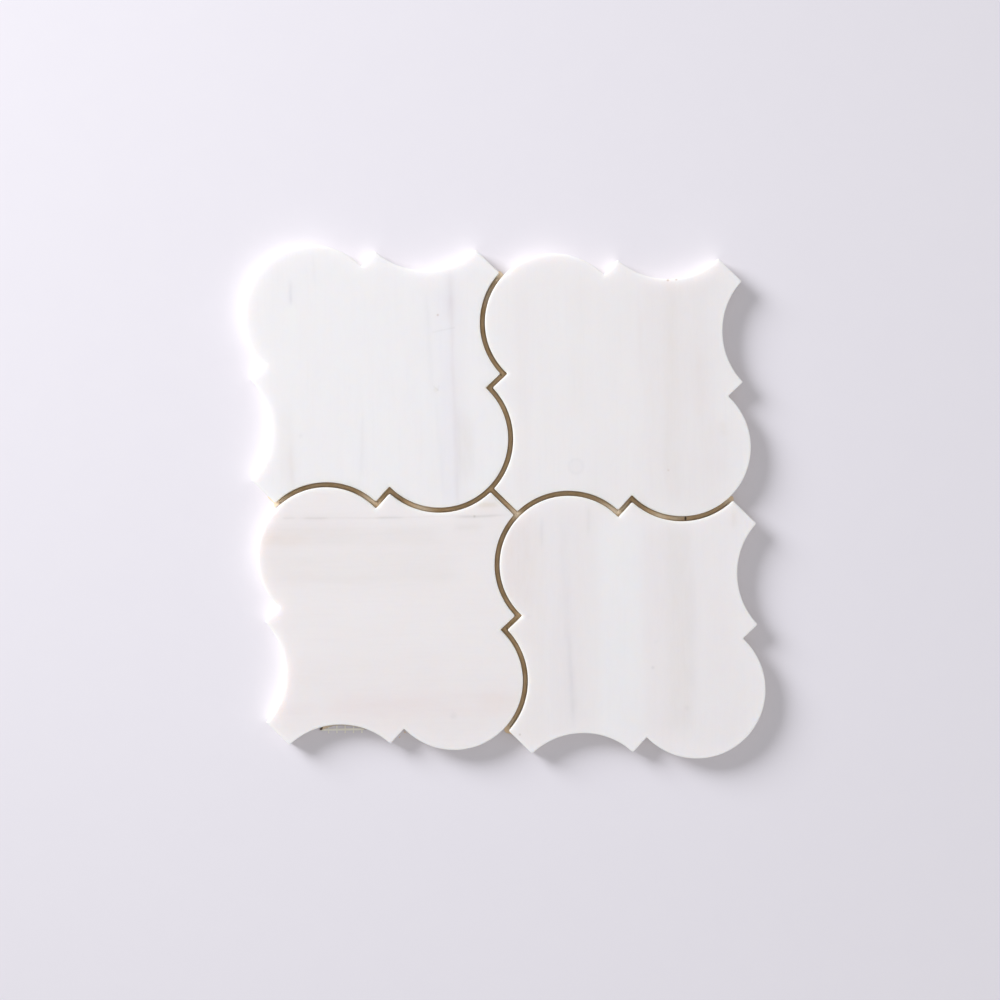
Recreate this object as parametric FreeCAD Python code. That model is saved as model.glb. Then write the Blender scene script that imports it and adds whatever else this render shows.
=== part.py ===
import FreeCAD, Part
import math
import os

from FreeCAD import Vector

# A mosaic sheet: four marble tiles of one arabesque outline, glued to a cut of glass-fibre net.
# Millimetres. Z is up, the net's underside is Z = 0 and the origin is under the middle of the sheet.
# Each tile has a round lobe at two opposite corners, a short flat at the other two, and a hollow
# bay and a straight step between each lobe and flat, so that its neighbours' lobes fill its bays.

# Driving dimensions of the pattern, on the middle lines of the joints
LOBE_PITCH = 215.0  # between the centres of two tiles that stand lobe to lobe
FLAT_PITCH = 195.3  # between the centres of two tiles that stand flat to flat
FLAT_LENGTH = 22.5
STEP_LENGTH = 12.2
STEP_LEAN = 2.0  # degrees between a step and the line from flat to flat
JOINT_WIDTH = 3.0  # open joint between two tiles

# Driving dimensions of one tile
TILE_THICKNESS = 10.0
ARRIS = 0.4  # bevel round the polished face

# Driving dimensions of the net
BACKING_THICKNESS = 0.5
BACKING_INSET = 1.5  # from the tiles' outer edge in to the net's cut edge
NET_PITCH = 5.0  # from thread to thread
THREAD_WIDTH = 0.8

# The trimming left a few bare threads standing in the lower bay of the lower left tile
LOOSE_THREADS = 5
LOOSE_LENGTH = 6.0  # from the bay's crown to their cut ends
LOOSE_SHIFT = 2.7  # from the bay's middle to the middle thread
CROSSING_DROP = 3.8  # from the crown to the thread that crosses them
CROSSING_END = 1.2  # from the last loose thread to the end of that thread

# Each tile's place in the pattern, in half pitches: towards the lobes, towards the flats
TILE_PLACES = {
    "tile_upper_left": (-1, 0),
    "tile_upper_right": (0, 1),
    "tile_lower_left": (0, -1),
    "tile_lower_right": (1, 0),
}

# The lobe axis of the pattern runs from upper left to lower right
PATTERN_TURN = -45.0

ORIGIN = Vector(0, 0, 0)
LOBE_AXIS = Vector(1, 0, 0)
FLAT_AXIS = Vector(0, 1, 0)
UP = Vector(0, 0, 1)


def mirrored(edges, normal):
    """Copies of the edges on the other side of the plane through the tile's middle."""
    return [edge.mirror(ORIGIN, normal) for edge in edges]


def on_circle(centre, radius, point, direction):
    """Where the line through point, along the unit vector direction, leaves the circle."""
    offset = centre - point
    along = offset.dot(direction)
    across = (offset - direction * along).Length
    return point + direction * (along + math.sqrt(radius**2 - across**2))


def arc(centre, radius, start, end):
    """The shorter arc of the circle from start to end."""
    bisector = (start - centre).normalize() + (end - centre).normalize()
    middle = centre + bisector.normalize() * radius
    return Part.Arc(start, middle, end).toShape()


def step_middle():
    """The middle of the joint's step in the first quarter: the pattern turns into itself about it."""
    return Vector(LOBE_PITCH / 4, FLAT_PITCH / 4, 0)


def along_step():
    """The direction of that step, towards the flat."""
    lean = math.radians(STEP_LEAN)
    return Vector(math.sin(lean), math.cos(lean), 0)


def middle_lobe():
    """Centre and radius of the joint's middle line round a lobe.

    It starts at the end of a step, and its far point is the end of the next tile's flat.
    """
    flat_end = (LOBE_PITCH - FLAT_LENGTH) / 2
    step_end = step_middle() - along_step() * (STEP_LENGTH / 2)
    reach = flat_end - step_end.x
    radius = (reach**2 + step_end.y**2) / (2 * reach)
    return Vector(flat_end - radius, 0, 0), radius


def outline(growth):
    """One tile's closed outline about its middle, moved outwards by growth from the joint's middle line."""
    lobe, middle_radius = middle_lobe()
    bay = step_middle() * 2 - lobe
    lobe_radius = middle_radius + growth
    bay_radius = middle_radius - growth

    step_up = along_step()
    step_out = Vector(step_up.y, -step_up.x, 0)
    on_step = step_middle() + step_out * growth
    on_flat = Vector(0, FLAT_PITCH / 2 + growth, 0)
    flat_end = on_circle(bay, bay_radius, on_flat, -LOBE_AXIS)
    tip = on_circle(bay, bay_radius, on_step, -step_up)
    notch = on_circle(lobe, lobe_radius, on_step, step_up)

    side = [arc(bay, bay_radius, flat_end, tip), Part.LineSegment(tip, notch).toShape()]
    sides = side + mirrored(side, FLAT_AXIS)
    flat = Part.LineSegment(Vector(-flat_end.x, flat_end.y, 0), flat_end).toShape()
    lobe_end = lobe + LOBE_AXIS * lobe_radius
    lobe_edge = Part.Arc(notch, lobe_end, Vector(notch.x, -notch.y, 0)).toShape()
    edges = sides + mirrored(sides, LOBE_AXIS)
    edges += [flat] + mirrored([flat], FLAT_AXIS)
    edges += [lobe_edge] + mirrored([lobe_edge], LOBE_AXIS)
    return Part.Wire(Part.sortEdges(edges)[0])


def in_pattern(shape, place):
    """The shape moved from the tile's own middle to its place in the sheet."""
    towards_lobes, towards_flats = place
    shape.translate(Vector(towards_lobes * LOBE_PITCH / 2, towards_flats * FLAT_PITCH / 2, 0))
    shape.rotate(ORIGIN, UP, PATTERN_TURN)
    return shape


def tile():
    """One tile about its own middle, standing on the net, with an arris round its face."""
    blank = Part.Face(outline(-JOINT_WIDTH / 2)).extrude(UP * TILE_THICKNESS)
    blank.translate(UP * BACKING_THICKNESS)
    top = BACKING_THICKNESS + TILE_THICKNESS
    rim = [edge for edge in blank.Edges if edge.BoundBox.ZMin > top - ARRIS / 2]
    return blank.makeChamfer(ARRIS, rim)


def bay_crown():
    """The highest point of the tile's edge in the lower bay of the lower left tile."""
    lobe, middle_radius = middle_lobe()
    bay = Vector(LOBE_PITCH / 2 - lobe.x, -FLAT_PITCH, 0)
    bay = FreeCAD.Rotation(UP, PATTERN_TURN).multVec(bay)
    return bay + Vector(0, middle_radius + JOINT_WIDTH / 2, 0)


def thread(start, end):
    """One bare thread along X or Y, as a flat bar."""
    half = THREAD_WIDTH / 2
    along = (end - start).normalize()
    across = Vector(along.y, along.x, 0) * half
    size = end - start + across * 2
    return Part.makeBox(size.x, size.y, BACKING_THICKNESS, start - across)


def loose_threads():
    """The bare threads in the bay, rooted under the tile, and the thread that crosses them."""
    middle = bay_crown() + Vector(LOOSE_SHIFT, 0, 0)
    root = Vector(0, 2 * BACKING_INSET, 0)
    cut_end = Vector(0, -LOOSE_LENGTH, 0)
    half_span = (LOOSE_THREADS - 1) * NET_PITCH / 2
    first = middle - Vector(half_span + NET_PITCH, CROSSING_DROP, 0)
    last = middle + Vector(half_span + CROSSING_END, -CROSSING_DROP, 0)
    threads = [thread(first, last)]
    for index in range(LOOSE_THREADS):
        place = middle + Vector(index * NET_PITCH - half_span, 0, 0)
        threads.append(thread(place + cut_end, place + root))
    return threads


def backing():
    """The net under all four tiles, full of adhesive and cut a little inside their outer edges."""
    cells = [in_pattern(Part.Face(outline(0)), place) for place in TILE_PLACES.values()]
    whole = cells[0].fuse(cells[1:]).removeSplitter().Faces[0]
    trimmed = whole.makeOffset2D(-JOINT_WIDTH / 2 - BACKING_INSET)
    net = trimmed.Faces[0].extrude(UP * BACKING_THICKNESS)
    return net.fuse(loose_threads()).removeSplitter()


def main():
    """Write one file for each piece."""
    os.makedirs("parts", exist_ok=True)
    pieces = {name: in_pattern(tile(), place) for name, place in TILE_PLACES.items()}
    pieces["mesh_backing"] = backing()
    for name, shape in pieces.items():
        shape.exportStep("parts/" + name + ".step")


main()
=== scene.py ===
import math

import bpy
import numpy as np
from mathutils import Matrix, Vector


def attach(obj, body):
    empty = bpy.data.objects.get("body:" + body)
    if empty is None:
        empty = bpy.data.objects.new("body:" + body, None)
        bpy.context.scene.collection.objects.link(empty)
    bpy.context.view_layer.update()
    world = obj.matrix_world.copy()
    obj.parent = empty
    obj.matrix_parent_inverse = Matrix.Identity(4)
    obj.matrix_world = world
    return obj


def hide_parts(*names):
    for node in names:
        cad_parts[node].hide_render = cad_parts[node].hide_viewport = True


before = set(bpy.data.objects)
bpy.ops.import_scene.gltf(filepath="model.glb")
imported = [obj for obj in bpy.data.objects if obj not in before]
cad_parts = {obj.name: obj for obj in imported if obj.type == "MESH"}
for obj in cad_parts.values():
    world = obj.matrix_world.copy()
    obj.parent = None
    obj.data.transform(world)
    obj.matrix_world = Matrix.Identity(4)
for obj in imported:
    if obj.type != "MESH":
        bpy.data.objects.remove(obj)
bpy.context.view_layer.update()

# A mosaic sheet: four tiles of white marble on a cut of glass-fibre net, seen from straight above.
# Sizes are in millimetres here and in metres in the meshes. Z is up and the net lies on Z = 0.

MM = 0.001

# The pattern, with the same values as the source of the solids
LOBE_PITCH = 215.0
FLAT_PITCH = 195.3
FLAT_LENGTH = 22.5
STEP_LENGTH = 12.2
STEP_LEAN = 2.0
JOINT_WIDTH = 3.0
TILE_THICKNESS = 10.0
ARRIS = 0.4
BACKING_THICKNESS = 0.5
BACKING_INSET = 1.5
NET_PITCH = 5.0
LOOSE_THREADS = 5
LOOSE_LENGTH = 6.0
LOOSE_SHIFT = 2.7
CROSSING_DROP = 3.8
CROSSING_END = 1.2
PATTERN_TURN = -45.0
TILE_PLACES = {"upper_left": (-1, 0), "upper_right": (0, 1), "lower_left": (0, -1), "lower_right": (1, 0)}
FACE_HEIGHT = BACKING_THICKNESS + TILE_THICKNESS

# How finely the meshes follow the pattern
POINT_SPACING = 0.45
CORNER_PASSES = 3  # each pass rounds the cut corners a little more
WORN_ARRIS = 0.25  # the usual size of the arris, which varies along the edge
WALL_WANDER = 0.12  # how far the cut walls wander inwards

# Small chips on the edges of the faces: x, y, reach and depth
CHIPS = {
    "upper_left": [(-24.0, 5.0, 0.8, 0.3)],
    "upper_right": [(99.6, 132.5, 0.9, 0.5), (104.6, 132.6, 0.7, 0.4)],
    "lower_left": [(-147.0, -92.0, 0.7, 0.3)],
    "lower_right": [(151.2, -127.3, 1.2, 0.8), (7.6, -139.4, 0.7, 0.5)],
}


# The pattern's rule, as in the source of the solids


def on_circle(centre, radius, point, direction):
    """Where the line through point, along the unit vector direction, leaves the circle."""
    offset = centre - point
    along = offset.dot(direction)
    across = (offset - direction * along).length
    return point + direction * (along + math.sqrt(radius**2 - across**2))


def step_middle():
    return Vector((LOBE_PITCH / 4, FLAT_PITCH / 4))


def along_step():
    lean = math.radians(STEP_LEAN)
    return Vector((math.sin(lean), math.cos(lean)))


def middle_lobe():
    """Centre and radius of the joint's middle line round a lobe."""
    flat_end = (LOBE_PITCH - FLAT_LENGTH) / 2
    step_end = step_middle() - along_step() * (STEP_LENGTH / 2)
    reach = flat_end - step_end.x
    radius = (reach**2 + step_end.y**2) / (2 * reach)
    return Vector((flat_end - radius, 0)), radius


def along_arc(centre, radius, start, end, spacing):
    """Points of the shorter arc from start towards end, without its last point."""
    first = (start - centre).normalized()
    turn = -first.angle_signed((end - centre).normalized())
    count = max(2, round(abs(turn) * radius / spacing))
    points = []
    for index in range(count):
        direction = first.copy()
        direction.rotate(Matrix.Rotation(turn * index / count, 2))
        points.append(centre + direction * radius)
    return points


def along_line(start, end, spacing):
    """Points of the line from start towards end, without its last point."""
    count = max(2, round((end - start).length / spacing))
    return [start.lerp(end, index / count) for index in range(count)]


def quarter(growth, spacing):
    """One quarter of a tile's outline, from the end of its flat to the end of its lobe."""
    lobe, middle_radius = middle_lobe()
    bay = step_middle() * 2 - lobe
    lobe_radius = middle_radius + growth
    bay_radius = middle_radius - growth
    step_up = along_step()
    step_out = Vector((step_up.y, -step_up.x))
    on_step = step_middle() + step_out * growth
    on_flat = Vector((0, FLAT_PITCH / 2 + growth))
    flat_end = on_circle(bay, bay_radius, on_flat, Vector((-1, 0)))
    tip = on_circle(bay, bay_radius, on_step, -step_up)
    notch = on_circle(lobe, lobe_radius, on_step, step_up)
    lobe_end = lobe + Vector((lobe_radius, 0))
    points = along_arc(bay, bay_radius, flat_end, tip, spacing)
    points += along_line(tip, notch, spacing)
    points += along_arc(lobe, lobe_radius, notch, lobe_end, spacing)
    return points + [lobe_end]


def outline(growth, spacing):
    """A tile's closed outline about its middle, clockwise from the middle of its upper flat."""
    upper = quarter(growth, spacing)
    lower = [Vector((p.x, -p.y)) for p in reversed(upper)][1:]
    flat = along_line(Vector((upper[0].x, -upper[0].y)), Vector((-upper[0].x, -upper[0].y)), spacing)[1:]
    half = upper + lower + flat
    return half + [-p for p in half]


def in_sheet(point, place):
    """A point of the tile's own frame, in the sheet's frame."""
    towards_lobes, towards_flats = place
    moved = point + Vector((towards_lobes * LOBE_PITCH / 2, towards_flats * FLAT_PITCH / 2))
    moved.rotate(Matrix.Rotation(math.radians(PATTERN_TURN), 2))
    return moved


def softened(points, passes):
    """The closed outline with its corners rounded."""
    for _ in range(passes):
        before = points[-1:] + points[:-1]
        after = points[1:] + points[:1]
        points = [(a + p * 2 + b) / 4 for a, p, b in zip(before, points, after)]
    return points


def bay_crown():
    """The highest point of the tile's edge in the lower bay of the lower left tile."""
    lobe, middle_radius = middle_lobe()
    bay = Vector((LOBE_PITCH / 2 - lobe.x, -FLAT_PITCH))
    bay.rotate(Matrix.Rotation(math.radians(PATTERN_TURN), 2))
    return bay + Vector((0, middle_radius + JOINT_WIDTH / 2))


def in_cells(x, y):
    """Whether each point of the sheet lies in a tile or in the half joint round one."""
    lobe, radius = middle_lobe()
    bay = step_middle() * 2 - lobe
    step = along_step()
    turn = math.radians(-PATTERN_TURN)
    towards_lobes = x * math.cos(turn) - y * math.sin(turn)
    towards_flats = x * math.sin(turn) + y * math.cos(turn)
    found = np.zeros(np.shape(x), bool)
    for lobes, flats in TILE_PLACES.values():
        u = abs(towards_lobes - lobes * LOBE_PITCH / 2)
        v = abs(towards_flats - flats * FLAT_PITCH / 2)
        beyond = (u - step_middle().x) * step.y - (v - step_middle().y) * step.x > 0
        in_lobe = np.hypot(u - lobe.x, v - lobe.y) < radius
        in_bay = np.hypot(u - bay.x, v - bay.y) < radius
        found |= np.where(beyond, in_lobe, ~in_bay & (v < FLAT_PITCH / 2))
    return found


# Node trees, written as plain sums


def operator(operation, swapped=False):
    def applied(self, other):
        pair = (other, self) if swapped else (self, other)
        return self.tree.node("ShaderNodeMath", {"operation": operation}, dict(enumerate(pair)))

    return applied


class Value:
    """The output of a node. Sums on it add Math nodes to its tree."""

    def __init__(self, tree, socket):
        self.tree = tree
        self.socket = socket

    __add__ = operator("ADD")
    __radd__ = operator("ADD", swapped=True)
    __sub__ = operator("SUBTRACT")
    __rsub__ = operator("SUBTRACT", swapped=True)
    __mul__ = operator("MULTIPLY")
    __rmul__ = operator("MULTIPLY", swapped=True)
    __truediv__ = operator("DIVIDE")
    __rtruediv__ = operator("DIVIDE", swapped=True)
    __pow__ = operator("POWER")
    __mod__ = operator("MODULO")

    def __abs__(self):
        return self.tree.math("ABSOLUTE", self)


class Tree:
    """A node tree that is written node by node."""

    def __init__(self, tree):
        self.tree = tree
        tree.nodes.clear()

    def node(self, kind, settings, values, output=0):
        """A node of that kind: its settings first, then the values or links of its sockets."""
        made = self.tree.nodes.new(kind)
        for name, value in settings.items():
            setattr(made, name, value)
        for key, value in values.items():
            self.feed(self.socket(made.inputs, key), value)
        return Value(self, self.socket(made.outputs, output))

    @staticmethod
    def socket(sockets, key):
        if isinstance(key, int):
            return sockets[key]
        return next(s for s in sockets if s.name == key and s.enabled)

    def feed(self, socket, value):
        if isinstance(value, Value):
            self.tree.links.new(value.socket, socket)
        else:
            socket.default_value = value

    def math(self, operation, *values):
        return self.node("ShaderNodeMath", {"operation": operation}, dict(enumerate(values)))

    def vector(self, operation, *values, output=0):
        return self.node("ShaderNodeVectorMath", {"operation": operation}, dict(enumerate(values)), output)

    def scaled(self, vector, factor):
        """The vector, made longer or shorter by the factor."""
        made = self.vector("SCALE", vector)
        self.feed(made.socket.node.inputs["Scale"], factor)
        return made

    def combined(self, x, y, z):
        return self.node("ShaderNodeCombineXYZ", {}, {0: x, 1: y, 2: z})

    def parts(self, vector):
        split = self.node("ShaderNodeSeparateXYZ", {}, {0: vector})
        return [Value(self, socket) for socket in split.socket.node.outputs]

    def smooth(self, value, low, high):
        """0 below low, 1 above high and a soft step between."""
        settings = {"interpolation_type": "SMOOTHSTEP"}
        return self.node("ShaderNodeMapRange", settings, {"Value": value, "From Min": low, "From Max": high})

    def noise(self, place, scale, detail=2.0, roughness=0.5):
        """Cloudy values about 0.5."""
        values = {"Vector": place, "Scale": scale, "Detail": detail, "Roughness": roughness}
        return self.node("ShaderNodeTexNoise", {}, values)

    def blend(self, factor, first, second):
        """A mix of two colours."""
        return self.node("ShaderNodeMix", {"data_type": "RGBA"}, {0: factor, 6: first, 7: second}, output=2)

    def blend_numbers(self, factor, first, second):
        return self.node("ShaderNodeMix", {}, {0: factor, 2: first, 3: second})


# Geometry trees

SOCKETS = {
    "length": "NodeSocketFloat",
    "number": "NodeSocketFloat",
    "count": "NodeSocketInt",
    "material": "NodeSocketMaterial",
    "object": "NodeSocketObject",
    "direction": "NodeSocketVector",
}
MERGING = 2e-6  # points nearer than this, in metres, are one


class Maker(Tree):
    """A geometry tree with named inputs, from a starting mesh to a finished one."""

    def __init__(self, name, inputs):
        super().__init__(bpy.data.node_groups.new(name, "GeometryNodeTree"))
        face = self.tree.interface
        face.new_socket("Geometry", in_out="INPUT", socket_type="NodeSocketGeometry")
        face.new_socket("Geometry", in_out="OUTPUT", socket_type="NodeSocketGeometry")
        self.keys = {}
        for label, kind in inputs.items():
            self.keys[label] = face.new_socket(label, in_out="INPUT", socket_type=SOCKETS[kind]).identifier
        self.given = self.tree.nodes.new("NodeGroupInput")

    def input(self, label):
        return Value(self, self.given.outputs[label])

    def finish(self, geometry):
        """Ends the tree, with every instance made real and the finish given."""
        real = self.node("GeometryNodeRealizeInstances", {}, {"Geometry": geometry})
        values = {"Geometry": real, "Material": self.input("Finish")}
        painted = self.node("GeometryNodeSetMaterial", {}, values)
        end = self.tree.nodes.new("NodeGroupOutput")
        self.feed(end.inputs["Geometry"], painted)

    def make(self, name, start, values):
        """A piece with the plain mesh that the tree makes from the starting mesh."""
        piece = bpy.data.objects.new(name, start)
        bpy.context.scene.collection.objects.link(piece)
        modifier = piece.modifiers.new("maker", "NODES")
        modifier.node_group = self.tree
        for label, value in values.items():
            modifier[self.keys[label]] = value
        bpy.context.view_layer.update()
        evaluated = piece.evaluated_get(bpy.context.evaluated_depsgraph_get())
        made = bpy.data.meshes.new_from_object(evaluated)
        piece.modifiers.clear()
        piece.data = made
        made.name = name
        made.materials.clear()
        made.materials.append(values["Finish"])
        made.polygons.foreach_set("material_index", [0] * len(made.polygons))
        return piece

    def sampled(self, geometry, value, index):
        settings = {"data_type": "FLOAT_VECTOR", "domain": "POINT"}
        values = {"Geometry": geometry, "Value": value, "Index": index}
        return self.node("GeometryNodeSampleIndex", settings, values, "Value")

    def attribute(self, name, data_type):
        settings = {"data_type": data_type}
        return self.node("GeometryNodeInputNamedAttribute", settings, {"Name": name}, "Attribute")

    def moved(self, geometry, offset):
        """The geometry, with each point moved by its own offset."""
        return self.node("GeometryNodeSetPosition", {}, {"Geometry": geometry, "Offset": offset})

    def seeded_position(self):
        """Each point's place, shifted by the seed, for the noises."""
        position = self.node("GeometryNodeInputPosition", {}, {})
        return self.vector("ADD", position, self.combined(self.input("Seed"), 0.0, 0.0))

    def merged(self, geometry):
        """The geometry, with the points that lie on each other made one."""
        return self.node("GeometryNodeMergeByDistance", {}, {"Geometry": geometry, "Distance": MERGING})

    def swept(self, curve, profile):
        """The profile swept along the curve, with its ends closed."""
        values = {"Curve": curve, "Profile Curve": profile, "Fill Caps": True}
        return self.node("GeometryNodeCurveToMesh", {}, values)

    def joined(self, *geometries):
        join = self.tree.nodes.new("GeometryNodeJoinGeometry")
        for geometry in geometries:
            self.tree.links.new(geometry.socket, join.inputs[0])
        return Value(self, join.outputs[0])


def start_mesh(name, points, edges, **attributes):
    """A mesh of points and edges in metres, with values on its points."""
    mesh = bpy.data.meshes.new(name)
    mesh.from_pydata([(p[0] * MM, p[1] * MM, p[2] * MM if len(p) > 2 else 0) for p in points], edges, [])
    for label, values in attributes.items():
        is_vector = hasattr(values[0], "__len__")
        data = mesh.attributes.new(label, "FLOAT_VECTOR" if is_vector else "FLOAT", "POINT").data
        for entry, value in zip(data, values):
            if is_vector:
                entry.vector = value
            else:
                entry.value = value
    return mesh


def outline_mesh(name, points, chips):
    """The closed outline, with the way inwards and the depth of the chips at each point."""
    inwards = []
    for before, after in zip(points[-1:] + points[:-1], points[1:] + points[:1]):
        run = (after - before).normalized()
        inwards.append((run.y, -run.x, 0))
    depths = []
    for point in points:
        depth = 0.0
        for x, y, reach, deep in chips:
            nearness = 1 - min(1.0, (point - Vector((x, y))).length / reach)
            depth += deep * nearness**0.5
        depths.append(depth * MM)
    edges = [(index, (index + 1) % len(points)) for index in range(len(points))]
    return start_mesh(name, points, edges, inwards=inwards, chip=depths)


def slab_maker():
    """A slab on an outline, with rounded, slightly uneven arrises round its upper face."""
    tree = Maker("slab", {
        "Underside": "length", "Thickness": "length", "Arris": "length", "Wander": "length",
        "Wall Rings": "count", "Arris Rings": "count", "Seed": "number", "Finish": "material",
    })
    outline_loop = tree.input("Geometry")
    underside, thickness, arris = (tree.input(label) for label in ("Underside", "Thickness", "Arris"))
    wall_rings, arris_rings = tree.input("Wall Rings"), tree.input("Arris Rings")
    settings = {"component": "MESH"}
    count = tree.node("GeometryNodeAttributeDomainSize", settings, {"Geometry": outline_loop}, "Point Count")
    rings = wall_rings + arris_rings + 1
    grid = tree.node("GeometryNodeMeshGrid", {}, {"Vertices X": count + 1, "Vertices Y": rings}, "Mesh")

    # each column of the grid stands on a point of the outline, and each row is a ring
    index = tree.node("GeometryNodeInputIndex", {}, {})
    column = tree.math("FLOOR", (index + 0.5) / rings)
    row = index - column * rings
    point = column % count
    foot = tree.sampled(outline_loop, tree.node("GeometryNodeInputPosition", {}, {}), point)
    inwards = tree.sampled(outline_loop, tree.attribute("inwards", "FLOAT_VECTOR"), point)
    chip = tree.sampled(outline_loop, tree.combined(tree.attribute("chip", "FLOAT"), 0.0, 0.0), point)
    chip_depth = tree.parts(chip)[0]

    # the walls wander inwards only, and the arris is rubbed all round and crumbled in a few places
    seeded = tree.vector("ADD", foot, tree.combined(tree.input("Seed"), 0.0, 0.0))
    sway = tree.noise(seeded, 60.0, 3.0) - 0.2
    rub = tree.noise(seeded, 420.0, 3.0, 0.65)
    crumbs = tree.smooth(tree.noise(seeded, 900.0, 2.0), 0.66, 0.8)
    size = arris * (0.55 + 0.7 * rub + 0.9 * crumbs) + chip_depth
    climb = tree.math("MINIMUM", row / wall_rings, 1.0)
    turn = tree.math("MAXIMUM", (row - wall_rings) / arris_rings, 0.0) * (math.pi / 2)
    height = underside + climb * (thickness - size) + size * tree.math("SINE", turn)
    inset = size * (1 - tree.math("COSINE", turn)) + sway * tree.input("Wander")
    spot = tree.vector("MULTIPLY_ADD", inwards, tree.combined(inset, inset, inset), foot)
    spot = tree.vector("ADD", spot, tree.combined(0.0, 0.0, height))
    walls = tree.node("GeometryNodeSetPosition", {}, {"Geometry": grid, "Position": spot})
    walls = tree.node("GeometryNodeFlipFaces", {}, {"Mesh": tree.merged(walls)})

    # the open rims are filled, above and below
    open_edge = tree.math("COMPARE", tree.node("GeometryNodeInputMeshEdgeNeighbors", {}, {}), 1.0, 0.1)
    position_height = tree.parts(tree.node("GeometryNodeInputPosition", {}, {}))[2]
    is_high = tree.math("GREATER_THAN", position_height, underside + thickness / 2)
    caps = []
    for is_here, level in ((is_high, underside + thickness), (1 - is_high, underside)):
        rim = tree.node("GeometryNodeMeshToCurve", {}, {"Mesh": walls, "Selection": open_edge * is_here})
        cap = tree.node("GeometryNodeFillCurve", {"mode": "NGONS"}, {"Curve": rim})
        caps.append(tree.moved(cap, tree.combined(0.0, 0.0, level)))
    caps[1] = tree.node("GeometryNodeFlipFaces", {}, {"Mesh": caps[1]})
    whole = tree.joined(walls, *caps)
    tree.finish(tree.merged(whole))
    return tree


def thread_maker():
    """Yarns along straight lines, which rise, dip and twist once for each square of the net."""
    tree = Maker("yarn", {
        "Step": "length", "Pitch": "length", "Level": "length", "Lift": "length", "Swing": "length",
        "Width": "length", "Thickness": "length", "Wander": "length", "Across": "direction",
        "Crossing": "direction", "Sides": "count", "Seed": "number", "Finish": "material",
    })
    curves = tree.node("GeometryNodeMeshToCurve", {}, {"Mesh": tree.input("Geometry")})
    settings = {"mode": "LENGTH"}
    curves = tree.node("GeometryNodeResampleCurve", settings, {"Curve": curves, "Length": tree.input("Step")})
    position = tree.node("GeometryNodeInputPosition", {}, {})
    strand = tree.attribute("strand", "FLOAT")
    across = tree.input("Across")
    along = tree.vector("CROSS_PRODUCT", across, (0.0, 0.0, 1.0))
    from_crossing = tree.vector("SUBTRACT", position, tree.input("Crossing"))
    run = tree.vector("DOT_PRODUCT", from_crossing, along, output="Value")
    phase = run / tree.input("Pitch") * math.pi
    sway = (tree.noise(tree.seeded_position(), 18.0, 2.0) - 0.5) * tree.input("Wander")
    aside = strand * tree.math("SINE", phase) * tree.input("Swing") + sway
    height = tree.input("Level") + strand * tree.math("COSINE", phase) * tree.input("Lift")
    offset = tree.vector("MULTIPLY", across, tree.combined(aside, aside, aside))
    offset = tree.vector("ADD", offset, tree.combined(0.0, 0.0, height))
    curves = tree.moved(curves, offset)
    curves = tree.node("GeometryNodeSetCurveNormal", {"mode": "Z_UP"}, {"Curve": curves})
    values = {"Resolution": tree.input("Sides"), "Radius": 0.5}
    ring = tree.node("GeometryNodeCurvePrimitiveCircle", {}, values)
    size = tree.combined(tree.input("Width"), tree.input("Thickness"), 1.0)
    ring = tree.node("GeometryNodeTransform", {}, {"Geometry": ring, "Scale": size})
    tree.finish(tree.swept(curves, ring))
    return tree


def bead_maker():
    """A bead of adhesive along a path, as high and as even as it was left."""
    tree = Maker("bead", {
        "Section": "object", "Film": "length", "Unevenness": "number", "Seed": "number", "Finish": "material",
    })
    path = tree.node("GeometryNodeMeshToCurve", {}, {"Mesh": tree.input("Geometry")})
    path = tree.node("GeometryNodeSetCurveNormal", {"mode": "Z_UP"}, {"Curve": path})
    section = tree.node("GeometryNodeObjectInfo", {}, {"Object": tree.input("Section")}, "Geometry")
    ring = tree.node("GeometryNodeMeshToCurve", {}, {"Mesh": section})
    ring = tree.node("GeometryNodeTransform", {}, {"Geometry": ring, "Scale": (-1.0, -1.0, 1.0)})
    bead = tree.swept(path, ring)
    height = tree.parts(tree.node("GeometryNodeInputPosition", {}, {}))[2]
    lumps = tree.noise(tree.seeded_position(), 260.0, 3.0, 0.6) - 0.5
    proud = tree.math("MAXIMUM", height - tree.input("Film"), 0.0)
    rise = proud * lumps * tree.input("Unevenness")
    tree.finish(tree.moved(bead, tree.combined(0.0, 0.0, rise)))
    return tree


def drop_maker():
    """Flattened, uneven drops on the given points."""
    tree = Maker("drop", {
        "Height": "length", "Flatness": "number", "Roughness": "number", "Seed": "number",
        "Finish": "material",
    })
    ball = tree.node("GeometryNodeMeshIcoSphere", {}, {"Radius": 0.5 * MM, "Subdivisions": 3})
    size = tree.attribute("size", "FLOAT")
    scale = tree.combined(size, size, size * tree.input("Flatness"))
    values = {"Points": tree.input("Geometry"), "Instance": ball, "Scale": scale}
    drops = tree.node("GeometryNodeInstanceOnPoints", {}, values)
    drops = tree.node("GeometryNodeRealizeInstances", {}, {"Geometry": drops})
    lumps = (tree.noise(tree.seeded_position(), 1400.0, 2.0) - 0.5) * tree.input("Roughness") * MM
    out = tree.scaled(tree.node("GeometryNodeInputNormal", {}, {}), lumps)
    offset = tree.vector("ADD", out, tree.combined(0.0, 0.0, tree.input("Height")))
    tree.finish(tree.moved(drops, offset))
    return tree


# Finishes


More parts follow.
